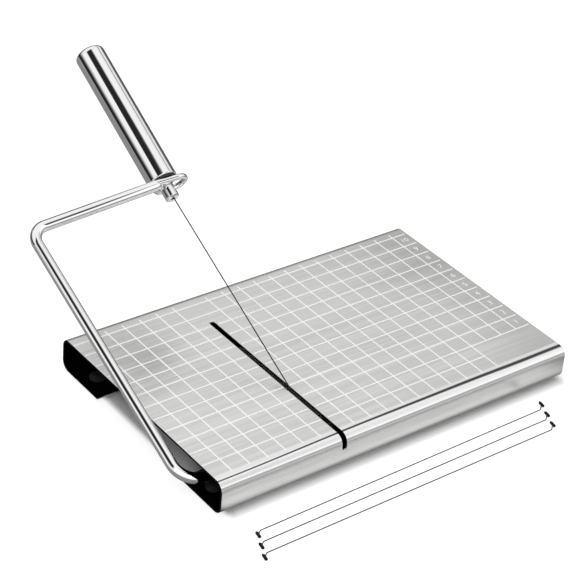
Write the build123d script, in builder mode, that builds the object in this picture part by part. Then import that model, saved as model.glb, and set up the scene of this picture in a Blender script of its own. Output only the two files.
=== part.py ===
from build123d import *
import os
from math import atan2, cos, hypot, radians, sin

# A wire cheese slicer: a folded steel bed with a slot, a bent rod that swings on a pivot in the
# front channel, and a wire drawn tight between the rod and a hollow screw in the handle.
# Frame: the origin is on the table, under the middle of the front left foot. X runs along the bed to
# the right, Y to the rear, Z up. Millimetres. The places below are measured from the slot's line
# and the bed's middle, and each piece is moved to the frame as it is saved.

# Bed: one sheet, folded down and inwards along its front and rear edges
bed_left = 70.0
bed_right = 140.0
bed_depth = 136.0
bed_top = 20.0
sheet = 1.2
bend_radius = 5.0
flange_depth = 32.0
slot_width = 2.8
slot_rear = 42.0
slot_foot = 12.4

# Feet: rubber pads with a stem through the lower flange and a head that snaps in above it
pad_height = 2.0
pad_radius = 6.5
pad_edge = 0.6
stem_radius = 2.5
stem_clearance = 0.1
head_radius = 4.2
head_height = 2.2
head_lip = 0.7
foot_end_inset = 9.0
foot_side_inset = 18.0

# Pivot: the axis of the rod's straight end, which lies in the front channel along X
pivot_setback = 20.8
pivot_height = 9.0
rest_angle = 28.8
bush_wall = 1.55
bush_length = 13.0
bush_bore_clearance = 0.05
strap = 1.2
strap_length = 10.0
strap_tab = 5.0
strap_fillet = 0.8
left_bush = -46.0
right_bush = 13.0

# Rod: one round bar, bent in a plane that is tilted by the rest angle
rod_radius = 2.8
rod_end = 24.0
rod_edge = 0.5
leg_lower_x = -76.1
leg_upper_x = -82.5
leg_reach = 144.1
lower_bend = 12.0
upper_bend = 8.0
bar_rise = 4.4

# Eye: the bar's end, turned down and bent round the tension pin
eye_stock = 1.5
eye_step = 1.2
eye_shoulder = -7.5
eye_bend = 5.3
eye_right = 5.3
eye_left = -0.7
eye_gap = 0.3

# Clips in grooves beside the bushes
clip_thickness = 0.8
clip_radius = 5.0
clip_seat = 2.3
clip_mouth = 3.6
clip_play = 0.1

# Wire, with a barrel wound at each end
wire_radius = 0.25
barrel_radius = 0.8
barrel_length = 4.0
wire_hole = 1.1
wire_kink = 20.0
wire_seat_gap = 0.02

# Tension pin: a hollow screw on the handle's axis
pin_x = -0.6
pin_radius = 3.6
pin_nose = 8.2
pin_length = 35.5
pin_edge = 0.7

# Handle
handle_radius = 7.8
handle_wall = 0.8
handle_tube_length = 79.0
handle_edge = 0.5
washer_radius = 6.9
washer_thickness = 1.1
washer_gap = 0.1
plug_length = 7.0
plug_clearance = 0.3
nut_length = 12.0
nut_clearance = 0.05
cap_skirt = 6.0
cap_height = 3.6
cap_rim = 1.3
cap_edge_share = 0.62

# Spare wires on the table in front of the bed
spare_length = 181.0
spare_x = 21.5
spare_x_step = 3.25
spare_front_y = -96.6
spare_pitch = 7.3
spare_turn = 0.4
spare_turn_step = 0.2
lead_along = 3.0
lead_aside = 2.5
lead_bend = 0.8
barrel_turn = 12.0

overrun = 1.0

os.makedirs("parts", exist_ok=True)

# Values that follow from the sizes above
bed_length = bed_left + bed_right
half_depth = bed_depth / 2
fold_height = bed_top - pad_height
flange_top = pad_height + sheet
pivot_y = pivot_setback - half_depth
tilt = radians(rest_angle)
along = Vector(0, cos(tilt), sin(tilt))
across = Vector(0, -sin(tilt), cos(tilt))
pivot = Vector(0, pivot_y, pivot_height)
arm_plane = Plane(origin=pivot, x_dir=(1, 0, 0), z_dir=across)
bush_radius = rod_radius + bush_bore_clearance + bush_wall
bush_drop = pivot_height - flange_top
strap_radius = bush_radius + strap
bar_slope = bar_rise / -leg_upper_x
shoulder_reach = leg_reach + bar_slope * (eye_shoulder - leg_upper_x)
eye_reach = shoulder_reach + eye_step
pin_low = eye_reach - pin_nose
pin_high = pin_low + pin_length
handle_low = eye_reach + eye_stock + washer_gap + washer_thickness
handle_bore = handle_radius - handle_wall
handle_high = handle_low + handle_tube_length

foot_places = {
    "foot_front_left": (foot_end_inset - bed_left, foot_side_inset - half_depth),
    "foot_front_right": (bed_right - foot_end_inset, foot_side_inset - half_depth),
    "foot_rear_left": (foot_end_inset - bed_left, half_depth - foot_side_inset),
    "foot_rear_right": (bed_right - foot_end_inset, half_depth - foot_side_inset),
}
to_frame = Location((-foot_places["foot_front_left"][0], -foot_places["foot_front_left"][1], 0))


def save(part, name):
    placed = part.moved(to_frame)
    placed.label = name
    export_step(placed, f"parts/{name}.step")


# The plane across the handle's axis at a distance from the pivot: local X is the frame's X and
# local Y points down from the rod's plane, so the handle's axis is at (pin_x, eye_bend)
def cross_plane(reach):
    return Plane(origin=pivot + along * reach, x_dir=(1, 0, 0), z_dir=along)


# The plane that holds the handle's axis, for the pieces that are turned about it: local X is the
# radius and local Y the distance from the pivot
turning_plane = Plane(origin=pivot + Vector(pin_x, 0, 0) - across * eye_bend, x_dir=(1, 0, 0), z_dir=across)
handle_axis = Axis(turning_plane.origin, along)

# Board: the folded section runs the whole length, then the slot and the feet's holes are cut
slot_end_y = slot_rear - slot_width / 2
slot_foot_z = slot_foot + slot_width / 2
with BuildPart() as board:
    with BuildSketch(Plane.YZ.offset(-bed_left)):
        with Locations((0, pad_height + fold_height / 2)):
            RectangleRounded(bed_depth, fold_height, bend_radius)
            RectangleRounded(
                bed_depth - 2 * sheet,
                fold_height - 2 * sheet,
                bend_radius - sheet,
                mode=Mode.SUBTRACT,
            )
        with Locations((0, pad_height + sheet / 2)):
            Rectangle(bed_depth - 2 * flange_depth, sheet + overrun, mode=Mode.SUBTRACT)
    extrude(amount=bed_length)
    with BuildSketch(Plane.XY.offset(bed_top - bend_radius)):
        with Locations((0, (slot_end_y - half_depth - overrun) / 2)):
            Rectangle(slot_width, slot_end_y + half_depth + overrun)
        with Locations((0, slot_end_y)):
            Circle(slot_width / 2)
    extrude(amount=bend_radius + overrun, mode=Mode.SUBTRACT)
    with BuildSketch(Plane.XZ.offset(half_depth + overrun)):
        with Locations((0, (slot_foot_z + bed_top - bend_radius) / 2)):
            Rectangle(slot_width, bed_top - bend_radius - slot_foot_z)
        with Locations((0, slot_foot_z)):
            Circle(slot_width / 2)
    extrude(amount=-(sheet + 2 * overrun), mode=Mode.SUBTRACT)
    with Locations(*[(x, y, flange_top) for x, y in foot_places.values()]):
        Hole(stem_radius + stem_clearance, depth=sheet + overrun)
save(board.part, "board")

# Feet: pad, stem and head are one turned form
for foot_name, (foot_x, foot_y) in foot_places.items():
    with BuildPart() as foot:
        with BuildSketch(Plane.XZ):
            with BuildLine():
                Polyline(
                    (0, 0),
                    (pad_radius - pad_edge, 0),
                    (pad_radius, pad_edge),
                    (pad_radius, pad_height),
                    (stem_radius, pad_height),
                    (stem_radius, flange_top),
                    (head_radius, flange_top),
                    (head_radius, flange_top + head_lip),
                    (stem_radius, flange_top + head_height),
                    (0, flange_top + head_height),
                    close=True,
                )
            make_face()
        revolve(axis=Axis.Z)
    save(foot.part.moved(Location((foot_x, foot_y, 0))), foot_name)

# Bushes: a half-round block on the flange, bored for the rod
for side, middle in (("left", left_bush), ("right", right_bush)):
    with BuildPart() as bush:
        with BuildSketch(Plane.YZ.offset(middle - bush_length / 2)):
            with Locations((pivot_y, pivot_height)):
                Circle(bush_radius)
            with Locations((pivot_y, pivot_height - bush_drop / 2)):
                Rectangle(2 * bush_radius, bush_drop)
            with Locations((pivot_y, pivot_height)):
                Circle(rod_radius + bush_bore_clearance, mode=Mode.SUBTRACT)
        extrude(amount=bush_length)
    save(bush.part, f"pivot_bush_{side}")

    # The strap over the bush, with a tab spot-welded to the flange on each side
    with BuildPart() as bracket:
        with BuildSketch(Plane.YZ.offset(middle - strap_length / 2)) as strap_sketch:
            with Locations((pivot_y, pivot_height)):
                Circle(strap_radius)
            with Locations((pivot_y, pivot_height - bush_drop / 2)):
                Rectangle(2 * strap_radius, bush_drop)
            with Locations((pivot_y, flange_top + strap / 2)):
                Rectangle(2 * (strap_radius + strap_tab), strap)
            inner_corners = strap_sketch.vertices().filter_by(
                lambda corner: abs(corner.Z - flange_top - strap) < strap / 2
                and abs(corner.Y - pivot_y) < strap_radius + strap_tab / 2
            )
            fillet(inner_corners, strap_fillet)
            with Locations((pivot_y, pivot_height)):
                Circle(bush_radius, mode=Mode.SUBTRACT)
            with Locations((pivot_y, pivot_height - bush_drop / 2)):
                Rectangle(2 * bush_radius, bush_drop, mode=Mode.SUBTRACT)
        extrude(amount=strap_length)
    save(bracket.part, f"pivot_bracket_{side}")

# Wire: from a barrel behind the rod, through the rod, up the hollow pin to a barrel on its end
barrel_back = rod_radius + barrel_radius + wire_seat_gap
wire_fall = atan2(eye_bend, pin_low)
wire_dir = along * cos(wire_fall) - across * sin(wire_fall)
wire_top_reach = pin_high + barrel_radius + wire_seat_gap
wire_start = pivot - wire_dir * barrel_back
wire_mouth = pivot + along * pin_low - across * eye_bend
wire_top = pivot + along * wire_top_reach - across * eye_bend
with BuildPart() as cutting_wire:
    with BuildLine() as wire_line:
        FilletPolyline(wire_start, wire_mouth, wire_top, radius=wire_kink)
    with BuildSketch(Plane(origin=wire_line.line @ 0, z_dir=wire_line.line % 0)):
        Circle(wire_radius)
    sweep(path=wire_line.line)
    with BuildSketch(Plane.YZ.offset(-barrel_length / 2)):
        with Locations((wire_start.Y, wire_start.Z)):
            Circle(barrel_radius)
    extrude(amount=barrel_length)
    with BuildSketch(Plane(origin=wire_top - across * barrel_length / 2, z_dir=across)):
        Circle(barrel_radius)
    extrude(amount=barrel_length)
save(cutting_wire.part, "cutting_wire")

# Rod: the bow lies in the arm's plane, then the turned-down end is bent round into the eye
groove_places = (
    left_bush - bush_length / 2 - clip_play - clip_thickness,
    right_bush + bush_length / 2 + clip_play,
)
with BuildPart() as arm_rod:
    with BuildLine(arm_plane) as bow:
        FilletPolyline(
            (rod_end, 0),
            (leg_lower_x, 0),
            (leg_upper_x, leg_reach),
            (eye_shoulder, shoulder_reach),
            radius=(lower_bend, upper_bend),
        )
    with BuildSketch(Plane(origin=bow.line @ 0, z_dir=bow.line % 0)):
        Circle(rod_radius)
    sweep(path=bow.line)
    chamfer(arm_rod.faces().sort_by_distance(bow.line @ 0)[0].edges(), rod_edge)
    chamfer(arm_rod.faces().sort_by_distance(bow.line @ 1)[0].edges(), rod_edge)
    with BuildLine(cross_plane(eye_reach)) as eye:
        near = Line((eye_shoulder - rod_radius, 0), (eye_right, 0))
        right_turn = JernArc(start=near @ 1, tangent=near % 1, radius=eye_bend, arc_size=180)
        far = Line(right_turn @ 1, right_turn @ 1 + Vector(eye_left - eye_right, 0, 0))
        left_turn = JernArc(start=far @ 1, tangent=far % 1, radius=eye_bend, arc_size=90)
        Line(left_turn @ 1, left_turn @ 1 + across * (eye_bend - rod_radius - eye_gap))
    with BuildSketch(Plane(origin=eye.line @ 0, z_dir=eye.line % 0)):
        Circle(eye_stock)
    sweep(path=eye.line)
    for groove_x in groove_places:
        with BuildSketch(Plane.YZ.offset(groove_x)):
            with Locations((pivot_y, pivot_height)):
                Circle(rod_radius + overrun)
                Circle(clip_seat, mode=Mode.SUBTRACT)
        extrude(amount=clip_thickness, mode=Mode.SUBTRACT)
    with BuildSketch(Plane(origin=pivot - wire_dir * (rod_radius + overrun), z_dir=wire_dir)):
        Circle(wire_hole)
    extrude(amount=2 * (rod_radius + overrun), mode=Mode.SUBTRACT)
save(arm_rod.part, "arm_rod")

# Clips: open rings that snap into the grooves from the front
for side, groove_x in zip(("left", "right"), groove_places):
    with BuildPart() as clip:
        with BuildSketch(Plane.YZ.offset(groove_x)):
            with Locations((pivot_y, pivot_height)):
                Circle(clip_radius)
                Circle(clip_seat, mode=Mode.SUBTRACT)
            with Locations((pivot_y - clip_radius, pivot_height)):
                Rectangle(2 * clip_radius, clip_mouth, mode=Mode.SUBTRACT)
        extrude(amount=clip_thickness)
    save(clip.part, f"retaining_clip_{side}")

# Tension pin: turned, with a through bore for the wire
with BuildPart() as tension_pin:
    with BuildSketch(turning_plane):
        with Locations((pin_radius / 2, pin_low + pin_length / 2)):
            Rectangle(pin_radius, pin_length)
    revolve(axis=handle_axis)
    chamfer(tension_pin.edges().sort_by(handle_axis)[0], pin_edge)
    with BuildSketch(turning_plane):
        with Locations((wire_hole / 2, pin_low + pin_length / 2)):
            Rectangle(wire_hole, pin_length + 2 * overrun)
    revolve(axis=handle_axis, mode=Mode.SUBTRACT)
save(tension_pin.part, "tension_pin")


# A ring about the handle's axis
def turned_ring(inner, outer, low, length):
    with BuildPart() as ring:
        with BuildSketch(turning_plane):
            with Locations(((inner + outer) / 2, low + length / 2)):
                Rectangle(outer - inner, length)
        revolve(axis=handle_axis)
    return ring.part


pin_bore = pin_radius + plug_clearance
nut_bore = pin_radius + nut_clearance
nut_low = handle_low + plug_length
save(turned_ring(pin_bore, washer_radius, handle_low - washer_thickness, washer_thickness), "handle_washer")
save(turned_ring(pin_bore, handle_bore, handle_low, plug_length), "handle_plug")
save(turned_ring(nut_bore, handle_bore, nut_low, nut_length), "handle_nut")

with BuildPart() as handle_tube:
    add(turned_ring(handle_bore, handle_radius, handle_low, handle_tube_length))
    fillet(handle_tube.edges().group_by(handle_axis)[0].sort_by(SortBy.LENGTH)[-1], handle_edge)
save(handle_tube.part, "handle_tube")

# Cap: a skirt inside the tube and a crown whose rim rounds into a shallow dome
crown_x = handle_radius - cap_rim
crown_y = handle_high + cap_height * cap_edge_share
with BuildPart() as handle_cap:
    with BuildSketch(turning_plane):
        with BuildLine():
            Polyline(
                (0, handle_high + cap_height),
                (0, handle_high - cap_skirt),
                (handle_bore, handle_high - cap_skirt),
                (handle_bore, handle_high),
                (handle_radius, handle_high),
            )
            rim = TangentArc((handle_radius, handle_high), (crown_x, crown_y), tangent=(0, 1))
            TangentArc((0, handle_high + cap_height), rim @ 1, tangent=(1, 0))
        make_face()
    revolve(axis=handle_axis)
save(handle_cap.part, "handle_cap")

# Spare wires: each lies on the table, and bends aside at its ends into a barrel
lead = hypot(lead_along, lead_aside, barrel_radius - wire_radius)
half_straight = spare_length / 2 - lead
barrel_way = Vector(sin(radians(barrel_turn)), cos(radians(barrel_turn)), 0)
barrel_right = Vector(half_straight + lead_along, lead_aside, barrel_radius)
barrel_left = Vector(-half_straight - lead_along, -lead_aside, barrel_radius)
for place, spare_name in enumerate(("spare_wire_front", "spare_wire_middle", "spare_wire_rear")):
    with BuildPart() as spare_wire:
        with BuildLine() as spare_line:
            FilletPolyline(
                barrel_left,
                (-half_straight, 0, wire_radius),
                (half_straight, 0, wire_radius),
                barrel_right,
                radius=lead_bend,
            )
        with BuildSketch(Plane(origin=spare_line.line @ 0, z_dir=spare_line.line % 0)):
            Circle(wire_radius)
        sweep(path=spare_line.line)
        for barrel_middle in (barrel_left, barrel_right):
            with BuildSketch(Plane(origin=barrel_middle - barrel_way * barrel_length / 2, z_dir=barrel_way)):
                Circle(barrel_radius)
            extrude(amount=barrel_length)
    spare_place = Location(
        (spare_x + place * spare_x_step, spare_front_y + place * spare_pitch, 0),
        (0, 0, spare_turn + place * spare_turn_step),
    )
    save(spare_wire.part.moved(spare_place), spare_name)

wire_free = (wire_mouth - pivot).length
print(f"wire from rod to pin {wire_free:.1f} mm, spare wire {spare_length:.1f} mm")
print(f"frame moved by {to_frame.position.X:.1f}, {to_frame.position.Y:.1f} mm")
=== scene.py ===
"""A wire cheese slicer: the surfaces, finishes, light and camera that dress its fixed frame."""

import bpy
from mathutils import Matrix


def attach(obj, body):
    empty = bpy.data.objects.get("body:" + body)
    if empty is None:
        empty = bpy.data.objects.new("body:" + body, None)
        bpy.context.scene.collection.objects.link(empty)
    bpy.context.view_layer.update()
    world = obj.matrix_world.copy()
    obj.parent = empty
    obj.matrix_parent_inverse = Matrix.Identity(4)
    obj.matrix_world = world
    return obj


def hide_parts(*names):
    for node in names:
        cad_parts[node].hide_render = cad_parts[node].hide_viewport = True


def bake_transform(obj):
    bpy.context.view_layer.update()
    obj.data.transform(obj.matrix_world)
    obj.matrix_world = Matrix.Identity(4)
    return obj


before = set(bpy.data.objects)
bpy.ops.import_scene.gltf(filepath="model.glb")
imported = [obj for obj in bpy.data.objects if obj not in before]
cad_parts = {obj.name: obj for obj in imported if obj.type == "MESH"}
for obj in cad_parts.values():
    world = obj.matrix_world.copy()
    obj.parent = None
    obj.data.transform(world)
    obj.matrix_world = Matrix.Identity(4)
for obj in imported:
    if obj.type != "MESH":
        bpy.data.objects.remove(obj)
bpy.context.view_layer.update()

from math import asin, atan2, cos, pi, radians, sin

import bmesh
import bpy
import numpy as np
from mathutils import Matrix, Vector

bl_info = {
    "name": "Wire cheese slicer",
    "version": (1, 0, 0),
    "blender": (4, 5, 0),
    "location": "View3D > Sidebar > Slicer",
    "description": "Builds a wire cheese slicer piece by piece round its fixed frame",
    "category": "Object",
}

# Sizes that the frame fixes, in millimetres. They are measured from the slot's line, midway between
# the bed's front and rear, and HOME is that place in the part's frame. RIGHT, ALONG and ACROSS are the
# arm's own axes: along the pivot, up the handle's way, and square to both. WIRE_FALL is the angle by
# which the wire drops below ALONG, and TOUCH is the play left between things that touch
MM = 0.001
HOME = np.array([61.0, 50.0, 0.0])
BED_LEFT, BED_RIGHT = -70.0, 140.0
HALF_DEPTH, BED_TOP, PAD_HEIGHT = 68.0, 20.0, 2.0
SHEET, BEND, FLANGE = 1.2, 5.0, 32.0
SLOT_HALF, SLOT_END_Y, SLOT_FOOT_Z = 1.4, 40.6, 13.8
FOOT_X, FOOT_Y = (-61.0, 131.0), (-50.0, 50.0)
REST_ANGLE = radians(28.8)
PIVOT = np.array([0.0, -47.2, 9.0])
RIGHT = np.array([1.0, 0.0, 0.0])
ALONG = np.array([0.0, cos(REST_ANGLE), sin(REST_ANGLE)])
ACROSS = np.array([0.0, -sin(REST_ANGLE), cos(REST_ANGLE)])
ROD, EYE_STOCK, EYE_BEND, EYE_REACH = 2.8, 1.5, 5.3, 149.3
BAR_SLOPE = 4.4 / 82.5
LEG_REACH, LEG_LOWER_X, LEG_UPPER_X = 144.1, -76.1, -82.5
LOWER_BEND, UPPER_BEND = 12, 8
ROD_END, GROOVES, GROOVE_RADIUS = 24, ((20.4, 19.6), (-52.6, -53.4)), 2.3
PIN_X, PIN_LOW, PIN_HIGH, PIN_RADIUS, WIRE_HOLE = -0.6, 141.1, 176.6, 3.6, 1.1
HANDLE_LOW, HANDLE_HIGH, HANDLE_RADIUS, HANDLE_BORE = 152.0, 231.0, 7.8, 7.0
WIRE, BARREL, BARREL_LENGTH = 0.25, 0.8, 4.0
WIRE_FALL = atan2(EYE_BEND, PIN_LOW)
TOUCH = 0.02
UP = np.array([0.0, 0.0, 1.0])


# Grids of points and the meshes made from them

def unit(vectors):
    """Each vector divided by its own length."""
    return vectors / np.linalg.norm(vectors, axis=-1, keepdims=True)


def arm_points(places):
    """Points of (x, s, h) places on the arm: pivot + x right + s along the handle + h across it."""
    places = np.asarray(places, float)
    return PIVOT + places[..., :1] * RIGHT + places[..., 1:2] * ALONG + places[..., 2:] * ACROSS


def quads(rows, columns, wrap):
    """Corner numbers of the cells of a grid; with wrap, the last column joins the first."""
    i, j = np.meshgrid(np.arange(rows - 1), np.arange(columns if wrap else columns - 1), indexing="ij")
    k = (j + 1) % columns
    corners = [i * columns + j, i * columns + k, (i + 1) * columns + k, (i + 1) * columns + j]
    return np.stack(corners, -1).reshape(-1, 4)


def bent_path(corners, bends, steps=12):
    """Straight runs joined by arcs: at a corner with bend r that turns by t, the arc leaves the
    incoming run r tan(t / 2) before the corner and follows r sin(a) ahead and r (1 - cos(a)) inwards."""
    corners = np.asarray(corners, float)
    parts = [corners[:1]]
    for before, corner, after, bend in zip(corners[:-2], corners[1:-1], corners[2:], bends):
        if bend == 0:
            parts.append(corner[None])
            continue
        ahead, leave = unit(corner - before), unit(after - corner)
        turn = np.arccos(np.clip(ahead @ leave, -1, 1))
        inwards = unit(leave - (ahead @ leave) * ahead)
        angle = np.linspace(0, turn, steps + 1)[:, None]
        start = corner - ahead * bend * np.tan(turn / 2)
        parts.append(start + bend * (np.sin(angle) * ahead + (1 - np.cos(angle)) * inwards))
    parts.append(corners[-1:])
    return np.concatenate(parts)


def held(path, gap=0.3):
    """The path with a point added a gap from each end of every run longer than four gaps, so that the
    roundings beside a straight run don't tilt the normals along it. Only the first three columns are
    measured, and a fourth, such as the radius, is carried along."""
    step = np.diff(path, axis=0)
    length = np.linalg.norm(step[:, :3], axis=1)
    long = np.flatnonzero(length > 4 * gap)
    lead = step[long] / length[long, None] * gap
    added = np.stack([path[long] + lead, path[long + 1] - lead], 1).reshape(-1, path.shape[1])
    return np.insert(path, np.repeat(long + 1, 2), added, axis=0)


def capped(path, radius, edge, steps=5):
    """A path and its radii with closed ends: each end starts at its middle, runs out flat, and rounds
    over the distance edge as a quarter circle."""
    turn = np.linspace(0, pi / 2, steps)
    rise = np.concatenate([[0.0], edge * (1 - np.cos(turn))])[:, None]
    grown = np.concatenate([[0.0], radius - edge + edge * np.sin(turn)])
    first = path[0] + rise * unit(path[1] - path[0])
    last = path[-1] + rise[::-1] * unit(path[-2] - path[-1])
    middle = path[1:-1]
    radii = np.concatenate([grown, np.full(len(middle), radius), grown[::-1]])
    return np.concatenate([first, middle, last]), radii


def tube(path, radius, reference, sides):
    """A round skin: at each point of the path a circle of its radius stands square to the path, and
    its first corner points along the path's direction crossed with the reference."""
    spine = held(np.column_stack([path, np.broadcast_to(radius, len(path))]))
    path, radius = spine[:, :3], spine[:, 3]
    ahead = np.empty_like(path)
    ahead[1:-1] = path[2:] - path[:-2]
    ahead[0], ahead[-1] = path[2] - path[0], path[-1] - path[-3]
    ahead = unit(ahead)
    side = unit(np.cross(ahead, reference))
    rise = np.cross(ahead, side)
    turn = np.linspace(0, 2 * pi, sides, endpoint=False)[None, :, None]
    ring = np.cos(turn) * side[:, None] + np.sin(turn) * rise[:, None]
    points = path[:, None] + radius[:, None, None] * ring
    return points.reshape(-1, 3), quads(len(path), sides, True)


def turned(radius, height, centre, axis, reference, sides):
    """A profile turned about an axis: centre + height axis + radius (cos a reference + sin a third)."""
    third = np.cross(axis, reference)
    turn = np.linspace(0, 2 * pi, sides, endpoint=False)[None, :, None]
    radius = np.asarray(radius, float)
    radius = radius[:, None, None] if radius.ndim == 1 else radius[..., None]
    spoke = np.cos(turn) * reference + np.sin(turn) * third
    points = centre + np.asarray(height, float)[:, None, None] * axis + radius * spoke
    return points.reshape(-1, 3), quads(len(height), sides, True)


def about_handle(profile, sides=96):
    """A (radius, reach) profile turned about the handle's axis."""
    profile = held(np.asarray(profile, float))
    centre = arm_points((PIN_X, 0.0, -EYE_BEND))
    return turned(profile[:, 0], profile[:, 1], centre, ALONG, RIGHT, sides)


def coil(centre, axis, reference, sides=8):
    """A wound barrel: the wire's middle follows centre + (t - half) axis + r (cos a, sin a), one turn
    for each thickness of wire, so that its turns touch."""
    turns = BARREL_LENGTH / (2 * WIRE) - 1
    angle = np.linspace(0, 2 * pi * turns, int(turns * 20) + 1)[:, None]
    along = (angle / (2 * pi) - turns / 2) * 2 * WIRE
    third = np.cross(axis, reference)
    path = centre + along * axis + (BARREL - WIRE) * (np.cos(angle) * reference + np.sin(angle) * third)
    path, radius = capped(path, WIRE, WIRE * 0.6, 3)
    return tube(path, radius, axis, sides)


def slabs(boxes):
    """Closed thin slabs from rows of (x low, x high, y low, y high, z low, z high)."""
    boxes = np.asarray(boxes, float)
    pick = np.array([(x, y, z) for z in (4, 5) for x, y in ((0, 2), (1, 2), (1, 3), (0, 3))])
    sides = [[i, (i + 1) % 4, (i + 1) % 4 + 4, i + 4] for i in range(4)]
    faces = np.array([[0, 3, 2, 1], [4, 5, 6, 7], *sides])
    offsets = 8 * np.arange(len(boxes))[:, None, None]
    return boxes[:, pick].reshape(-1, 3), (faces[None] + offsets).reshape(-1, 4)


def piece(name, parts, material, closed=True, sharp=35):
    """One object from (points, faces) grids, moved home and into metres. Doubles are merged, the faces
    of closed shapes are turned outwards, and edges sharper than the angle stay sharp."""
    offsets = np.cumsum([0] + [len(points) for points, faces in parts[:-1]])
    points = (np.concatenate([points for points, faces in parts]) + HOME) * MM
    faces = np.concatenate([faces + offset for (_, faces), offset in zip(parts, offsets)])
    mesh = bpy.data.meshes.new(name)
    mesh.from_pydata(points.tolist(), [], faces.tolist())
    made = bmesh.new()
    made.from_mesh(mesh)
    bmesh.ops.remove_doubles(made, verts=made.verts, dist=1e-6)
    if closed:
        bmesh.ops.recalc_face_normals(made, faces=made.faces)
    made.to_mesh(mesh)
    made.free()
    mesh.shade_smooth()
    mesh.set_sharp_from_angle(angle=radians(sharp))
    shaped = bpy.data.objects.new(name, mesh)
    bpy.context.scene.collection.objects.link(shaped)
    mesh.materials.append(material)
    return shaped


def applied(shaped):
    """The piece with its modifiers worked into its mesh."""
    graph = bpy.context.evaluated_depsgraph_get()
    mesh = bpy.data.meshes.new_from_object(shaped.evaluated_get(graph))
    shaped.modifiers.clear()
    shaped.data = mesh
    return shaped


def dress(shaped, body, slot, *nodes):
    """The piece rides on its body and stands for its nodes. The slot is not used."""
    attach(shaped, body)
    if nodes:
        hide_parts(*nodes)
    return shaped


def refinish(node, finished):
    """The node's own solid stays in view, with the finish on it."""
    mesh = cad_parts[node].data
    mesh.materials.clear()
    mesh.materials.append(finished())


# Finishes

class Socket:
    """One value in a node tree. Arithmetic on it adds Math nodes; node() adds any other node."""

    def __init__(self, tree, link=None):
        self.tree, self.link = tree, link

    def node(self, kind, settings=(), sockets=(), out=0):
        """Adds a node of a type, sets its settings first, then the values or links of its sockets."""
        added = self.tree.nodes.new(kind)
        for name, value in dict(settings).items():
            setattr(added, name, value)
        for name, value in dict(sockets).items():
            if isinstance(value, Socket):
                self.tree.links.new(value.link, added.inputs[name])
            else:
                added.inputs[name].default_value = value
        return Socket(self.tree, added.outputs[out] if added.outputs else added)

    def maths(self, operation, *values):
        return self.node("ShaderNodeMath", {"operation": operation}, dict(enumerate(values)))

    def __add__(self, other):
        return self.maths("ADD", self, other)

    def __sub__(self, other):
        return self.maths("SUBTRACT", self, other)

    def __rsub__(self, other):
        return self.maths("SUBTRACT", other, self)

    def __mul__(self, other):
        return self.maths("MULTIPLY", self, other)

    def __truediv__(self, other):
        return self.maths("DIVIDE", self, other)

    def __abs__(self):
        return self.maths("ABSOLUTE", self)

    def __pow__(self, other):
        return self.maths("POWER", self, other)

    __radd__, __rmul__ = __add__, __mul__

    def step(self, low, high):
        """0 below low, 1 above high, and smooth between; with low above high it falls instead."""
        start, end = (0.0, 1.0) if low < high else (1.0, 0.0)
        sockets = {0: self, 1: min(low, high), 2: max(low, high), 3: start, 4: end}
        return self.node("ShaderNodeMapRange", {"interpolation_type": "SMOOTHSTEP"}, sockets)

    def above_zero(self):
        """The value, with anything below 0 raised to it."""
        return self.maths("MAXIMUM", self, 0.0)

    def line(self, width):
        """1 along a line where the value is 0, with soft edges at the width to each side of it."""
        return (1 - (abs(self) / width) ** 4).above_zero()

    def dot(self, vector):
        product = {"operation": "DOT_PRODUCT"}
        return self.node("ShaderNodeVectorMath", product, {0: self, 1: vector}, "Value")

    def axes(self):
        """The three parts of a vector."""
        split = self.node("ShaderNodeSeparateXYZ", (), {0: self})
        return [Socket(self.tree, split.link.node.outputs[number]) for number in range(3)]

    def blend(self, first, second):
        """A colour between two, by this value."""
        return self.node("ShaderNodeMix", {"data_type": "RGBA"}, {0: self, 6: first, 7: second}, 2)

    def greater(self, other):
        """The greater of two values."""
        return self.maths("MAXIMUM", self, other)

    def noise(self, scale, detail=2.0, roughness=0.5):
        """Noise over a vector, with a scale for each axis in cells a metre."""
        scaled = self.node("ShaderNodeMapping", {"vector_type": "POINT"}, {"Vector": self, "Scale": scale})
        sockets = {"Vector": scaled, "Scale": 1.0, "Detail": detail, "Roughness": roughness}
        return self.node("ShaderNodeTexNoise", (), sockets)

    def bump(self, strength, distance):
        sockets = {"Height": self, "Strength": strength, "Distance": distance}
        return self.node("ShaderNodeBump", (), sockets)


def finish(name, build):
    """A material whose surface comes from build(place), a dict of shader sockets, where place is the
    Object coordinates, measured from HOME. It is made once and shared."""
    if name in bpy.data.materials:
        return bpy.data.materials[name]
    material = bpy.data.materials.new(name)
    material.use_nodes = True
    tree = material.node_tree
    tree.nodes.clear()
    place = Socket(tree).node("ShaderNodeTexCoord", (), (), "Object")
    moved = {"Vector": place, "Location": list(-HOME * MM)}
    place = place.node("ShaderNodeMapping", {"vector_type": "POINT"}, moved)
    surface = place.node("ShaderNodeBsdfPrincipled", (), build(place))
    place.node("ShaderNodeOutputMaterial", (), {"Surface": surface})
    return material


def grey(value):
    return (value, value, value, 1.0)


def tint(colour, share=1.0):
    """A colour at a share of its brightness, with the alpha that a shader asks for."""
    return (*[channel * share for channel in colour], 1.0)


def ray_kind(socket, name):
    """1 for rays of one kind, such as Is Camera Ray."""
    return socket.node("ShaderNodeLightPath", (), (), name)


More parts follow.
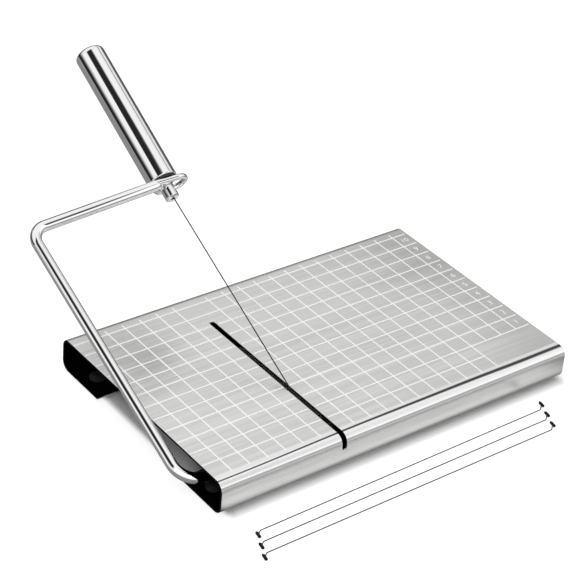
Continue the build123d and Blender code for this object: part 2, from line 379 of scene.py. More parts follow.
def brushed_steel():
    """Sheet steel brushed along X: fine streaks in tone, gloss and height. The folds are smooth and carry
    a painted highlight, with a painted dark reflection line where they begin, and the front one a painted
    dark line below its highlight. The walls have painted shade towards the table, the right end and its
    rear part painted shade, and the faces inside the sheet and at its ends are painted dark, as shade."""
    bed = bpy.context.scene.slicer_bed

    def build(place):
        fine = place.noise((22.0, 1500.0, 1500.0), 3.0, 0.6)
        broad = place.noise((6.0, 380.0, 380.0), 2.0)
        patch = place.noise((9.0, 14.0, 14.0), 1.0)
        x, y, z = place.axes()
        far, front, upper = abs(y), y.step(0.01, -0.01), z.step(0.0185, 0.0193)

        # How far a place is past the flat top and past the flat part of the wall. In a fold, depth is
        # the distance from its axis, and well under the bend's radius lies the sheet's inner face
        fold = (HALF_DEPTH - BEND) * MM
        middle, half = (BED_TOP + PAD_HEIGHT) / 2, (BED_TOP - PAD_HEIGHT) / 2
        past_side = (far - fold).above_zero()
        past_mid = (abs(z - middle * MM) - (half - BEND) * MM).above_zero()
        depth = (past_side * past_side + past_mid * past_mid) ** 0.5
        inside = depth.step((BEND - 0.55) * MM, (BEND - 0.75) * MM)
        length = (BED_RIGHT - BED_LEFT) / 2
        along = abs(x - (BED_LEFT + BED_RIGHT) / 2 * MM)
        # Painted shade: the sheet's inner faces and the cut faces at its ends are painted near black
        painted_dark_inside_and_ends = inside.greater(along.step((length - 0.10) * MM, (length - 0.04) * MM))

        # Painted dark reflection: a line where the folds begin, widest at the right, wandering towards
        # the rim at both ends
        width = x.step(BED_LEFT * MM, 0.12) * 0.80 * MM + 0.42 * MM
        shift = (x.step(0.02, -0.06) * 0.95 + x.step(0.08, 0.115) * 0.37 + 0.35) * MM
        painted_dark_reflection = (far - fold - shift).line(width) * upper * 0.95 * (front * 0.9 + 0.1)
        # Painted dark reflection line across the front wall, just below the fold's highlight
        painted_lower_dark_line = (past_mid - 2.4 * MM).line(0.5 * MM) * z.step(0.0150, 0.0155) * front
        painted_lower_dark_line = painted_lower_dark_line * past_side.step(0.0, 1.0 * MM) * 0.6
        # Painted highlight: the top just before the front fold, and the upper folds, are painted bright as
        # their reflections
        painted_highlight_strip = far.step(0.0602, 0.0610) * upper * front
        bent = past_side.step(0.0, 1.0 * MM) * past_mid.step(0.0, 1.4 * MM) * z.step(0.010, 0.012)
        painted_highlight = painted_highlight_strip.greater(bent)
        # Painted shade: the right end of the sheet, and more so its rear part, is darker
        painted_shade_right = x.step(0.100, 0.138) * 0.16 + x.step(0.06, 0.12) * y.step(-0.02, 0.03) * 0.12
        # Painted shade: the walls' lower parts are painted darker towards the table
        low = z.step(0.0085, 0.0045) * 0.66 + z.step(0.0125, 0.0090) * 0.06

        tone = fine.step(0.34, 0.66) * 0.5 + broad.step(0.34, 0.66) * 0.35 + patch * 0.15
        colour = tone.blend(tint(bed.steel, 0.78), tint(bed.steel))
        for share, level in ((painted_shade_right * (1 - painted_highlight), 0.10), (painted_highlight * 0.85, 1.0), (painted_dark_reflection, 0.02),
                             (painted_lower_dark_line, 0.16), (low * past_side.step(0.0, 4.0 * MM), 0.05), (painted_dark_inside_and_ends, 0.006)):
            colour = share.blend(colour, grey(level))
        gloss = bed.roughness + (fine - 0.5) * 0.16 + painted_dark_inside_and_ends * 0.4 + painted_highlight * 0.04
        raised = (fine * 0.7 + broad * 0.3).bump(0.10, 0.00003)
        return {"Base Color": colour, "Metallic": 1.0, "Roughness": gloss, "Normal": raised}

    return finish("brushed_sheet", build)


def polished_steel():
    """Mirror-polished steel: even and bright, with faint wiped smears in the gloss."""
    rod = bpy.context.scene.slicer_rod

    def build(place):
        smear = place.noise((60.0, 160.0, 90.0), 3.0, 0.6)
        hair = place.noise((900.0, 900.0, 900.0), 2.0)
        colour = smear.blend(tint(rod.steel, 0.97), tint(rod.steel))
        gloss = rod.roughness + smear.step(0.45, 0.8) * 0.035 + hair * 0.01
        return {"Base Color": colour, "Metallic": 1.0, "Roughness": gloss}

    return finish("mirror_steel", build)


def drawn_wire():
    """Drawn steel wire: greyer than the rod, with marks of the die along its length."""
    wires = bpy.context.scene.slicer_wires

    def build(place):
        marks = place.noise((70.0, 900.0, 900.0), 2.0)
        colour = marks.blend(tint(wires.steel, 0.7), tint(wires.steel))
        return {"Base Color": colour, "Metallic": 1.0, "Roughness": marks * 0.16 + 0.2}

    return finish("drawn_wire", build)


def dark_nylon():
    """Moulded nylon: near black, satin, with a fine spark-eroded grain."""
    def build(place):
        grain = place.noise((2600.0, 2600.0, 2600.0), 2.0)
        colour = grain.blend((0.012, 0.012, 0.013, 1.0), (0.03, 0.03, 0.031, 1.0))
        return {"Base Color": colour, "Roughness": grain * 0.2 + 0.38, "Normal": grain.bump(0.15, 0.00004)}

    return finish("moulded_nylon", build)


def dark_rubber():
    """Matt rubber with a fine stipple and a little dust."""
    def build(place):
        grain = place.noise((1900.0, 1900.0, 1900.0), 3.0)
        dust = place.noise((160.0, 160.0, 160.0), 3.0).step(0.5, 0.8)
        colour = dust.blend((0.006, 0.006, 0.006, 1.0), (0.022, 0.0215, 0.021, 1.0))
        return {"Base Color": colour, "Roughness": grain * 0.2 + 0.68, "Normal": grain.bump(0.3, 0.00008)}

    return finish("stippled_rubber", build)


def white_print():
    """Screen-printed ink: off-white, thinner where the brushing shows through."""
    bed = bpy.context.scene.slicer_bed

    def build(place):
        thin = place.noise((40.0, 2300.0, 2300.0), 2.0).step(0.35, 0.75)
        colour = thin.blend(tint(bed.ink), tint(bed.ink, 0.93))
        return {"Base Color": colour, "Roughness": thin * 0.1 + 0.42}

    return finish("white_print", build)


# The user's sizes and colours

class BedSizes(bpy.types.PropertyGroup):
    cell: bpy.props.FloatProperty(name="Grid cell", description="Pitch of the printed grid",
                                  default=0.010, min=0.002, unit="LENGTH", precision=4)
    line: bpy.props.FloatProperty(name="Line width", description="Width of a printed line",
                                  default=0.00070, min=0.0001, unit="LENGTH", precision=5)
    figure: bpy.props.FloatProperty(name="Number height", description="Height of a printed number",
                                    default=0.0036, min=0.001, unit="LENGTH", precision=4)
    ink: bpy.props.FloatVectorProperty(name="Ink", description="Colour of the print",
                                       default=(1.0, 0.995, 0.98), subtype="COLOR", min=0, max=1)
    steel: bpy.props.FloatVectorProperty(name="Sheet steel", description="Colour of the brushed sheet",
                                         default=(0.86, 0.86, 0.85), subtype="COLOR", min=0, max=1)
    roughness: bpy.props.FloatProperty(name="Brushing", description="Roughness of the brushed sheet",
                                       default=0.30, min=0, max=1, subtype="FACTOR")


class RodSizes(bpy.types.PropertyGroup):
    steel: bpy.props.FloatVectorProperty(name="Polished steel", description="Colour of the rod and handle",
                                         default=(0.90, 0.90, 0.90), subtype="COLOR", min=0, max=1)
    roughness: bpy.props.FloatProperty(name="Polish", description="Roughness of the polished steel",
                                       default=0.045, min=0, max=1, subtype="FACTOR")
    edge: bpy.props.FloatProperty(name="Rod edge", description="Rounding of the rod's free end",
                                  default=0.0005, min=0.0001, unit="LENGTH", precision=5)


class HandleSizes(bpy.types.PropertyGroup):
    edge: bpy.props.FloatProperty(name="Tube edge", description="Rounding of the tube's lower edge",
                                  default=0.0005, min=0.0001, max=0.0007, unit="LENGTH", precision=5)
    pitch: bpy.props.FloatProperty(name="Thread pitch", description="Pitch of the tension pin's thread",
                                   default=0.001, min=0.0005, unit="LENGTH", precision=5)


class WireSizes(bpy.types.PropertyGroup):
    steel: bpy.props.FloatVectorProperty(name="Wire", description="Colour of the drawn wire",
                                         default=(0.045, 0.043, 0.042), subtype="COLOR", min=0, max=1)


class StageSizes(bpy.types.PropertyGroup):
    floor: bpy.props.FloatProperty(name="Floor radius", description="Radius of the floor's disc",
                                   default=0.48, min=0.3, unit="LENGTH")
    sky: bpy.props.FloatProperty(name="Sky", description="Level of the light from all round",
                                 default=0.34, min=0, max=2)
    lamp: bpy.props.FloatProperty(name="Soft box", description="Power of the soft box overhead",
                                  default=17.0, min=0, unit="POWER")


# Pieces

class SLICER_OT_bed(bpy.types.Operator):
    """Folds the bed from one sheet, with a channel along each long side and the wire's slot."""
    bl_idname = "slicer.bed"
    bl_label = "Bed"

    def execute(self, context):
        # Rows and columns a little way from the bends and the edges keep the light even on flat faces
        hold = 0.4
        near = BEND + hold
        side, foot, top = HALF_DEPTH, PAD_HEIGHT, BED_TOP
        front_flange = [(FLANGE - side, foot), (near - side, foot), (-side, foot)]
        front_wall = [(-side, foot + near), (-side, SLOT_FOOT_Z - 3), (-side, SLOT_FOOT_Z), (-side, top)]
        face = [(y, top) for y in (near - side, -30, 0, 25, SLOT_END_Y, SLOT_END_Y + 4, side - near)]
        rear_wall = [(side, top), (side, foot + near)]
        rear_flange = [(side, foot), (side - near, foot), (side - FLANGE, foot)]
        corners = [*front_flange, *front_wall, *face, *rear_wall, *rear_flange]
        folds = [(-side, foot), (-side, top), (side, top), (side, foot)]
        bends = [BEND if corner in folds else 0 for corner in corners[1:-1]]
        section = bent_path(corners, bends, 14)
        foot_row = np.argmin(np.linalg.norm(section - (-side, SLOT_FOOT_Z), axis=1))
        end_row = np.argmin(np.linalg.norm(section - (SLOT_END_Y, top), axis=1))
        lip = SLOT_HALF * np.cos(np.linspace(pi, 0, 13))
        left = [BED_LEFT, BED_LEFT + hold, *np.linspace(BED_LEFT + 10, -10, 6), -SLOT_HALF - hold]
        right = [SLOT_HALF + hold, *np.linspace(10, BED_RIGHT - 10, 12), BED_RIGHT - hold, BED_RIGHT]
        x = np.concatenate([left, lip, right])
        points = np.empty((len(section), len(x), 3))
        points[..., 0] = x
        points[..., 1:] = section[:, None]
        bulge = np.sqrt(np.clip(SLOT_HALF ** 2 - x ** 2, 0, None))
        points[end_row, :, 1] += bulge
        points[foot_row, :, 2] -= bulge
        faces = quads(len(section), len(x), False)
        row, column = np.divmod(faces[:, 0], len(x))
        in_slot = (row >= foot_row) & (row < end_row)
        in_slot &= (column >= len(left)) & (column < len(left) + len(lip) - 1)
        bed = piece("bed_sheet", [(points.reshape(-1, 3), faces[~in_slot])], brushed_steel(), closed=False)
        thicken = bed.modifiers.new("thickness", "SOLIDIFY")
        thicken.thickness, thicken.offset, thicken.use_even_offset = SHEET * MM, -1.0, True
        soften = bed.modifiers.new("edges", "BEVEL")
        soften.width, soften.segments = 0.16 * MM, 2
        soften.limit_method, soften.angle_limit = "ANGLE", radians(60)
        even = bed.modifiers.new("normals", "WEIGHTED_NORMAL")
        even.keep_sharp = True
        applied(bed)
        dress(bed, "base", "brushed_steel", "board")
        return {"FINISHED"}


class SLICER_OT_print(bpy.types.Operator):
    """Prints the grid and its numbers on the bed."""
    bl_idname = "slicer.bed_print"
    bl_label = "Printed grid"

    def execute(self, context):
        bed = context.scene.slicer_bed
        cell, half = bed.cell / MM, bed.line / MM / 2
        low, high, apart = BED_TOP - 0.02, BED_TOP + 0.03, 0.006
        first_row, side_end, ruled_end = -51.4, 61.8, 10 * cell

        # The columns skip the slot, and those beside the numbers start at the second row
        x = np.arange(-6, 14) * cell
        x = x[x != 0]
        front = np.where(x > ruled_end + cell / 2, -4.14 * cell, -side_end)
        ends = [np.full_like(x, value) for value in (side_end, low, high - apart)]
        columns = np.stack([x - half, x + half, front, *ends], -1)
        rows = []
        for y in first_row + np.arange(12) * cell:
            left, right = BED_LEFT + 0.4, BED_RIGHT - 1.4 if y > first_row + cell / 2 else ruled_end
            gap = SLOT_HALF + 0.7
            runs = [(left, -gap), (gap, right)] if y < SLOT_END_Y + SLOT_HALF else [(left, right)]
            rows += [(start, end, y - half, y + half, low, high) for start, end in runs]
        lines = piece("bed_grid", [slabs(columns), slabs(rows)], white_print(), sharp=20)
        dress(lines, "base", "brushed_steel")

        capital, number_x, last_y = 0.73, 134.6, 53.6
        made = bmesh.new()
        for number in range(1, 11):
            text = bpy.data.curves.new("number", "FONT")
            text.body, text.align_x, text.align_y = str(number), "CENTER", "CENTER"
            text.size, text.extrude, text.resolution_u = bed.figure / capital, 0.025 * MM, 3
            written = bpy.data.objects.new("number", text)
            context.scene.collection.objects.link(written)
            context.view_layer.update()
            mesh = bpy.data.meshes.new_from_object(written.evaluated_get(context.evaluated_depsgraph_get()))
            place = HOME + (number_x, last_y - (10 - number) * cell, BED_TOP)
            mesh.transform(Matrix.Translation(place * MM))
            made.from_mesh(mesh)
            bpy.data.objects.remove(written)
        mesh = bpy.data.meshes.new("bed_numbers")
        made.to_mesh(mesh)
        made.free()
        mesh.materials.clear()
        mesh.materials.append(white_print())
        numbers = bpy.data.objects.new("bed_numbers", mesh)
        context.scene.collection.objects.link(numbers)
        dress(numbers, "base", "brushed_steel")
        return {"FINISHED"}


class SLICER_OT_feet(bpy.types.Operator):
    """Turns the four rubber feet, each a pad, a stem and a head that snaps in above the flange."""
    bl_idname = "slicer.feet"
    bl_label = "Feet"

    def execute(self, context):
        pad, stem, head, hollow, top = 6.5, 2.5, 4.2, 0.25, PAD_HEIGHT + SHEET
        corners = [(0, hollow), (4.2, hollow), (4.6, 0), (pad, 0), (pad, PAD_HEIGHT), (stem, PAD_HEIGHT),
                   (stem, top), (head, top), (head, top + 0.9), (2.4, top + 2.2), (0, top + 2.2)]
        profile = bent_path(corners, [0.2, 0.2, 0.5, 0.25, 0, 0, 0.15, 0.3, 0.5], 4)
        for side, x in zip(("left", "right"), FOOT_X):
            for end, y in zip(("front", "rear"), FOOT_Y):
                node = f"foot_{end}_{side}"
                grid = turned(profile[:, 0], profile[:, 1], np.array([x, y, 0.0]), UP, RIGHT, 48)
                dress(piece(f"{node}_rubber", [grid], dark_rubber()), "base", "dark_rubber", node)
        return {"FINISHED"}


class SLICER_OT_pivot(bpy.types.Operator):
    """Finishes the straps, the bushes and the clips that hold the rod in the front channel."""
    bl_idname = "slicer.pivot"
    bl_label = "Pivot"

    def execute(self, context):
        for side in ("left", "right"):
            refinish(f"pivot_bracket_{side}", brushed_steel)
            refinish(f"pivot_bush_{side}", dark_nylon)
            refinish(f"retaining_clip_{side}", drawn_wire)
        return {"FINISHED"}


class SLICER_OT_rod(bpy.types.Operator):
    """Bends the rod: the pivot run, the leg, the bar, and the turned-down eye, as one skin."""
    bl_idname = "slicer.rod"
    bl_label = "Rod"

    def execute(self, context):
        rod = context.scene.slicer_rod
        shoulder, neck_length, eye_start, tail, tail_gap, tail_edge = -8.6, 1.4, -7.0, -6.0, 0.3, 0.35
        shoulder_reach = LEG_REACH + BAR_SLOPE * (shoulder - LEG_UPPER_X)

        # The pivot run, with both walls of each groove, the leg and the bar. The far end's cap is cut
        # off again, because the neck goes on from there
        cuts = [(x, 0, 0) for groove in GROOVES for x in np.repeat(groove, 2)]
        bow = bent_path([(ROD_END, 0, 0), *cuts, (LEG_LOWER_X, 0, 0), (LEG_UPPER_X, LEG_REACH, 0),
                         (shoulder, shoulder_reach, 0)], [0] * len(cuts) + [LOWER_BEND, UPPER_BEND], 20)
        bow, radius = [part[:-5] for part in capped(bow, ROD, rod.edge / MM)]
        start = np.argmin(np.abs(bow[:, 0] - GROOVES[0][0]))
        radius[[start + 1, start + 2, start + 5, start + 6]] = GROOVE_RADIUS

        # The neck eases by 3 t^2 - 2 t^3 from the bar's middle and radius to the eye's
        part = np.linspace(0, 1, 10)[1:, None]
        ease = part * part * (3 - 2 * part)
        neck_reach = shoulder_reach + (EYE_REACH - shoulder_reach) * ease
        neck = np.concatenate([shoulder + neck_length * part, neck_reach, 0 * part], 1)
        neck_radius = ROD - (ROD - EYE_STOCK) * ease[:, 0]

        # The eye, whose first cap is cut off in the same way, because it goes on from the neck
        drop = 2 * EYE_BEND
        turns = [(eye_start, 0), (drop, 0), (drop, -drop), (tail, -drop), (tail, -ROD - tail_gap)]
        eye = bent_path([(x, EYE_REACH, h) for x, h in turns], [EYE_BEND] * 3, 16)
        eye, eye_radius = [part[6:] for part in capped(eye, EYE_STOCK, tail_edge)]
        path = arm_points(np.concatenate([bow, neck, eye]))
        radius = np.concatenate([radius, neck_radius, eye_radius])
        bent = piece("bent_rod", [tube(path, radius, unit(ALONG + ACROSS), 40)], polished_steel())

        # The wire's hole, drilled through the rod at the pivot
        wire_way = cos(WIRE_FALL) * ALONG - sin(WIRE_FALL) * ACROSS
        line = np.array([PIVOT + reach * wire_way for reach in (-5, -4, 4, 5)])
        drill = piece("drill", [tube(*capped(line, WIRE_HOLE, 0.1), RIGHT, 32)], polished_steel())
        bore = bent.modifiers.new("bore", "BOOLEAN")
        bore.operation, bore.object, bore.solver = "DIFFERENCE", drill, "EXACT"
        applied(bent)
        bpy.data.objects.remove(drill)
        dress(bent, "arm", "polished_steel", "arm_rod")
        return {"FINISHED"}


class SLICER_OT_handle(bpy.types.Operator):
    """Turns the handle: the tube, its domed cap and the dark ring below it. The plug and the nut inside
    keep their solids."""
    bl_idname = "slicer.handle"
    bl_label = "Handle"

    @staticmethod
    def turn_piece(name, profile, finished, slot, node):
        """A piece turned about the handle's axis, which rides on the handle."""
        dress(piece(name, [about_handle(profile)], finished()), "handle", slot, node)

    def execute(self, context):
        edge = context.scene.slicer_handle.edge / MM
        low, high, outer, bore = HANDLE_LOW, HANDLE_HIGH, HANDLE_RADIUS, HANDLE_BORE
        join = (bore, low + 20)
        corners = [join, (bore, low), (outer, low), (outer, high), (bore, high), join]
        shell = bent_path(corners, [0.12, edge, 0.12, 0.05], 6)
        self.turn_piece("handle_shell", shell, polished_steel, "polished_steel", "handle_tube")

        # The cap: a skirt inside the tube, a rounded rim, and a dome that goes on from it
        rim_radius, rim_rise, dome_radius, dome_height, depth = 2.565, 2.23, 16.1, 3.6, 6
        turn = np.linspace(0, asin(rim_rise / rim_radius), 12)
        rim = np.stack([outer - rim_radius * (1 - np.cos(turn)), high + rim_radius * np.sin(turn)], -1)
        rise = np.linspace(asin(rim[-1, 0] / dome_radius), 0, 16)[1:]
        dome_reach = high + dome_height - dome_radius * (1 - np.cos(rise))
        dome = np.stack([dome_radius * np.sin(rise), dome_reach], -1)
        inside, seat = bore - TOUCH, high + 0.01
        skirt = [(0, high - depth), (inside, high - depth), (inside, seat), (outer - 0.1, seat)]
        cap = np.concatenate([bent_path(skirt, [0.4, 0], 4), rim[:1] + (0, 0.06), rim[1:], dome])
        self.turn_piece("handle_dome", cap, polished_steel, "polished_steel", "handle_cap")

        inner, width, base = PIN_RADIUS + 0.3, 6.9, low - 1.1
        join = (inner, low - 0.5)
        corners = [join, (inner, base), (width, base), (width, low), (inner, low), join]
        ring = bent_path(corners, [0.1, 0.3, 0.1, 0.1], 5)
        self.turn_piece("handle_ring", ring, dark_nylon, "dark_nylon", "handle_washer")
        refinish("handle_plug", dark_nylon)
        refinish("handle_nut", brushed_steel)
        return {"FINISHED"}


class SLICER_OT_pin(bpy.types.Operator):
    """Turns the hollow tension pin: a chamfered nose, and a thread on the part inside the handle."""
    bl_idname = "slicer.pin"
    bl_label = "Tension pin"

    def execute(self, context):
        pitch, sides = context.scene.slicer_handle.pitch / MM, 64
        join, chamfer, thread_low, thread_high, groove = 160, 0.7, 154.0, PIN_HIGH - 0.6, 0.35
        corners = [(WIRE_HOLE, join), (WIRE_HOLE, PIN_LOW), (PIN_RADIUS - chamfer, PIN_LOW),
                   (PIN_RADIUS, PIN_LOW + chamfer), (PIN_RADIUS, thread_low - 0.5)]
        nose = held(bent_path(corners, [0.2, 0.15, 0.25], 4))

        # The thread's wave runs on by one pitch for each turn, and fades out at both ends
        reach = np.arange(thread_low, thread_high, pitch / 6)[:, None]
        angle = np.linspace(0, 1, sides, endpoint=False)[None]
        wave = np.abs(((reach / pitch - angle) % 1) * 2 - 1)
        fade = np.clip((reach - thread_low) / 2, 0, 1) * np.clip((thread_high - reach) / 0.6, 0, 1)
        thread = PIN_RADIUS - groove * np.clip(wave * 1.3 - 0.1, 0, 1) * fade
        corners = [(PIN_RADIUS - 0.05, PIN_HIGH - 0.55), (PIN_RADIUS - 0.4, PIN_HIGH),
                   (WIRE_HOLE, PIN_HIGH), (WIRE_HOLE, join)]
        end = bent_path(corners, [0.1, 0.2], 4)

        def plain(profile):
            return np.repeat(profile[:, :1], sides, 1)

        radius = np.concatenate([plain(nose), thread, plain(end)])
        height = np.concatenate([nose[:, 1], reach[:, 0], end[:, 1]])
        centre = arm_points((PIN_X, 0.0, -EYE_BEND))
        grid = turned(radius, height, centre, ALONG, RIGHT, sides)
        screw = piece("tension_screw", [grid], polished_steel())
        dress(screw, "wire_screw", "polished_steel", "tension_pin")
        return {"FINISHED"}


class SLICER_OT_wire(bpy.types.Operator):
    """Draws the cutting wire from its barrel behind the rod, through the rod and up the hollow pin."""
    bl_idname = "slicer.wire"
    bl_label = "Cutting wire"

    def execute(self, context):
        # The run is drawn a little thicker than the wire, so that it reads at the picture's size
        back, swell, spans, entry_bend = ROD + BARREL + TOUCH, 0.04, 40, 20
        start = np.array([0.0, -back * cos(WIRE_FALL), back * sin(WIRE_FALL)])
        mouth = np.array([0.0, PIN_LOW, -EYE_BEND])
        top = np.array([0.0, PIN_HIGH + BARREL + TOUCH, -EYE_BEND])
        run = [start + (mouth - start) * part for part in np.linspace(0, 0.99, spans)]
        line = bent_path([*run, mouth, top], [0] * (spans - 1) + [entry_bend], 8)
        path, radius = capped(arm_points(line), WIRE + swell, 0.1, 3)
        parts = [tube(path, radius, RIGHT, 12), coil(arm_points(start), RIGHT, ALONG),
                 coil(arm_points(top), ACROSS, RIGHT)]
        wire = piece("drawn_cutting_wire", parts, drawn_wire(), sharp=50)
        places = arm_points([(0, 6, 0), (0, PIN_LOW - 4, -EYE_BEND)])
        ends = [Vector((place + HOME) * MM) for place in places]
        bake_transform(wire)
        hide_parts("cutting_wire")
        return {"FINISHED"}


class SLICER_OT_spares(bpy.types.Operator):
    """Lays the three spare wires on the table, each bent aside at its ends into a wound barrel."""
    bl_idname = "slicer.spares"
    bl_label = "Spare wires"

    def execute(self, context):
        lead, half_length = np.array([3.0, 2.5, BARREL - WIRE]), 90.5
        straight = half_length - np.linalg.norm(lead)
        for place, name in enumerate(("front", "middle", "rear")):
            node = f"spare_wire_{name}"
            tilt = 0.4 + 0.2 * place
            turn, lean = radians(tilt), radians(tilt - 12)
            ahead, aside = np.array([cos(turn), sin(turn), 0]), np.array([-sin(turn), cos(turn), 0])
            barrel_way = np.array([-sin(lean), cos(lean), 0])
            middle = np.array([21.5 + 3.25 * place, -96.6 + 7.3 * place, WIRE])
            half = (straight + lead[0]) * ahead + lead[1] * aside
            ends = [middle + way * half + lead[2] * UP for way in (-1, 1)]
            corners = [ends[0], middle - straight * ahead, middle + straight * ahead, ends[1]]
            path, radius = capped(bent_path(corners, [0.8, 0.8], 6), WIRE, 0.1, 3)
            parts = [tube(path, radius, UP, 10)] + [coil(end, barrel_way, UP) for end in ends]
            drawn = piece(f"{node}_drawn", parts, drawn_wire(), sharp=50)
            dress(drawn, "spare_wires", "wire_steel", node)
        return {"FINISHED"}


# Stage

def studio_sky(stage):
    """A white studio, as polished steel shows it. Dark shapes in it make the stripes on the round bars:
    a round black flag overhead, a band along the horizon on each side, and two seams. A brighter box
    at the front lights the bed's front fold. Only glossy rays see them; the camera sees plain white."""
    world = bpy.data.worlds.new("studio")
    bpy.context.scene.world = world
    world.use_nodes = True
    tree = world.node_tree
    tree.nodes.clear()
    way = Socket(tree).node("ShaderNodeTexCoord", (), (), "Generated")
    x, y, z = way.axes()
    left, rear, behind = x.step(-0.1, -0.3), y.step(0.35, 0.5), y.step(-0.1, 0.1)
    right, before = 1 - left, 1 - behind

    # The flag overhead. lean is the angle from straight up towards the left
    lean, near = x.maths("ARCTAN2", 0.0 - x, z), y.step(-0.09, -0.14)
    rim = lean.step(radians(44), radians(36)) * 0.05 + 0.02
    right_rim = near * lean.step(radians(-6), radians(22)) + (1 - near) * lean.step(radians(-8), radians(6))
    flag = (rim - y).step(-0.02, 0.02) * y.step(-0.45, -0.35) * right_rim
    flag = flag * lean.step(radians(72), radians(50))

    # The bands along the horizon. The right one rises towards the rear, and is thin in front
    left_band = (1 - z.step(0.10, 0.50)) * z.step(-0.20, -0.12) * (y + z * 0.65).step(0.34, 0.42) * left
    rise = y.step(0.72, 0.80) * 0.20
    above_band = (z - rise).step(0.20, 0.42) * behind + (z.step(0.0, 0.13) * 0.45 + 0.55) * before
    right_band = (1 - above_band) * z.step(-0.22, -0.10) * right

    # The seams: each runs square to one direction, for a part of the sky
    seam_right = abs(way.dot((0.552, 0.402, -0.731))).step(0.065, 0.030)
    seam_right = seam_right * way.dot((0.760, 0.118, 0.639)).step(0.93, 0.96)
    seam_front = abs(way.dot((0.0, 0.881, 0.473)) + 0.08).step(0.35, 0.25)
    seam_front = seam_front * x.step(0.520, 0.500) * x.step(0.20, 0.30) * y.step(-0.2, -0.3)

    box = y.step(-0.18, -0.32) * z.step(0.20, 0.40) * 0.30
    fall_off = x.step(0.44, 0.68) * 0.20 * rear + z.step(0.62, 0.47) * 0.18 * rear
    fall_off = fall_off + x.step(0.50, 0.70) * 0.12 * (1 - rear)
    shade = (1.0 - fall_off + box) * (1 - flag * 0.98) * (1 - seam_right * 0.85) * (1 - seam_front * 0.93)
    shade = shade * z.step(-0.02, 0.02) + 0.33 * z.step(0.02, -0.02)
    shade = shade * (1 - left_band * 0.97) * (1 - right_band * (behind * 0.40 + 0.46))

    glossy = ray_kind(way, "Is Glossy Ray")
    seen = glossy.blend(grey(stage.sky), grey(1.0))
    seen = ray_kind(way, "Is Camera Ray").blend(seen, grey(1.0))
    sockets = {0: 1.0, 6: seen, 7: 1 - glossy * (1 - shade)}
    strength = way.node("ShaderNodeMix", {"data_type": "RGBA", "blend_type": "MULTIPLY"}, sockets, 2)
    background = way.node("ShaderNodeBackground", (), {"Color": strength, "Strength": 1.0})
    way.node("ShaderNodeOutputWorld", (), {"Surface": background})


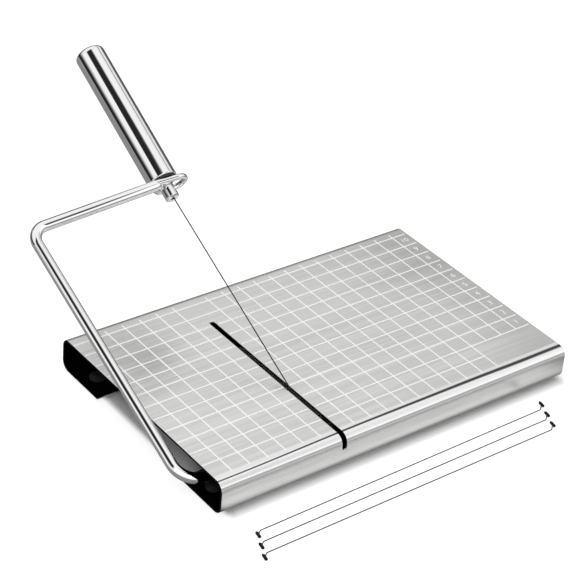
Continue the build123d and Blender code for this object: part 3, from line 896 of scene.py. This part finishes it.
class SLICER_OT_stage(bpy.types.Operator):
    """Sets out the floor, the soft boxes, the studio's sky and the camera."""
    bl_idname = "slicer.stage"
    bl_label = "Stage"

    def execute(self, context):
        stage = context.scene.slicer_stage

        def build(place):
            # For the camera the floor glows: to plain white from 36 mm beyond the bed and at its left
            # end, less beside it, and not at all under it, so that its soft shadow stays close
            x, y, z = place.axes()
            beyond_left, beyond_right = (BED_LEFT * MM - x).above_zero(), (x - BED_RIGHT * MM).above_zero()
            beside = beyond_left * 3.0 + beyond_right + (abs(y) - HALF_DEPTH * MM).above_zero()
            clear = x.step((BED_LEFT + 8.0) * MM, (BED_LEFT + 3.0) * MM)
            under, far = beside.step(0.005, 0.0) * (1 - clear), clear.greater(beside.step(0.006, 0.036))
            glow = under.blend(far.blend(grey(0.38), grey(0.84)), grey(0.0))
            glow = ray_kind(place, "Is Camera Ray").blend(grey(0.0), glow)
            mottle = place.noise((3.0, 3.0, 3.0), 2.0)
            colour = far.blend(mottle.blend(grey(0.95), grey(0.97)), grey(0.30))
            colour = under.blend(colour, grey(0.98))
            return {"Base Color": colour, "Roughness": 0.9, "Specular IOR Level": 0.0,
                    "Emission Color": glow, "Emission Strength": 1.0}

        reach = np.array([0.0, 0.5, 1.0]) * stage.floor / MM
        grid = turned(reach, np.zeros(3), np.array([30.0, 0.0, 0.0]), UP, RIGHT, 96)
        floor = piece("floor", [grid], finish("pale_floor", build), closed=False)
        if floor.data.polygons[0].normal.z < 0:
            floor.data.flip_normals()
        studio_sky(stage)

        target = Vector((0.09, 0.05, 0.0))
        for name, place, size, power in (("soft_box_top", (-0.20, -0.15, 1.5), 1.6, stage.lamp),
                                         ("soft_box_front", (-1.05, -1.15, 0.9), 1.0, stage.lamp * 0.3)):
            lamp = bpy.data.lights.new(name, "AREA")
            lamp.shape, lamp.size, lamp.energy = "DISK", size, power
            hung = bpy.data.objects.new(name, lamp)
            context.scene.collection.objects.link(hung)
            hung.location = place
            hung.rotation_euler = (target - hung.location).to_track_quat("-Z", "Y").to_euler()
            hung.visible_glossy = False

        # The camera, as it was fitted to the photo's grid: it looks along its heading, which is
        # measured from +Y to the right, and down, and is then rolled about its own axis
        stand = Vector((-0.452043, -0.593942, 0.598273))
        heading, down, roll = radians(39.25469), radians(32.92963), radians(5.01785)
        ahead = Vector((sin(heading) * cos(down), cos(heading) * cos(down), -sin(down)))
        level = Vector((cos(heading), -sin(heading), 0))
        right = cos(roll) * level + sin(roll) * level.cross(ahead)
        up = right.cross(ahead)
        lens = bpy.data.cameras.new("camera")
        lens.lens, lens.sensor_width, lens.sensor_fit = 129.4556, 36.0, "HORIZONTAL"
        camera = bpy.data.objects.new("camera", lens)
        context.scene.collection.objects.link(camera)
        turn = Matrix((right, up, -ahead)).transposed().to_4x4()
        camera.matrix_world = Matrix.Translation(stand) @ turn
        context.scene.camera = camera
        context.scene.view_settings.view_transform = "Standard"
        return {"FINISHED"}


class SLICER_PT_pieces(bpy.types.Panel):
    """Lists the slicer's sizes and pieces."""
    bl_idname = "SLICER_PT_pieces"
    bl_label = "Cheese slicer"
    bl_space_type = "VIEW_3D"
    bl_region_type = "UI"
    bl_category = "Slicer"

    def draw(self, context):
        for operator in OPERATORS:
            self.layout.operator(operator.bl_idname)
        for group in GROUPS:
            sizes = getattr(context.scene, group)
            for name in sizes.bl_rna.properties.keys():
                if name not in ("rna_type", "name"):
                    self.layout.prop(sizes, name)


OPERATORS = (SLICER_OT_stage, SLICER_OT_bed, SLICER_OT_print, SLICER_OT_feet, SLICER_OT_pivot,
             SLICER_OT_rod, SLICER_OT_handle, SLICER_OT_pin, SLICER_OT_wire, SLICER_OT_spares)
GROUPS = {"slicer_bed": BedSizes, "slicer_rod": RodSizes, "slicer_handle": HandleSizes,
          "slicer_wires": WireSizes, "slicer_stage": StageSizes}


def register():
    for made in (*GROUPS.values(), *OPERATORS, SLICER_PT_pieces):
        bpy.utils.register_class(made)
    for name, group in GROUPS.items():
        setattr(bpy.types.Scene, name, bpy.props.PointerProperty(type=group))


def unregister():
    for name in GROUPS:
        delattr(bpy.types.Scene, name)
    for made in (SLICER_PT_pieces, *OPERATORS, *GROUPS.values()):
        bpy.utils.unregister_class(made)


def main():
    """Registers the classes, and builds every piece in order."""
    register()
    for operator in OPERATORS:
        group, name = operator.bl_idname.split(".")
        getattr(getattr(bpy.ops, group), name)()
    bpy.context.view_layer.update()


if __name__ == "__main__":
    main()
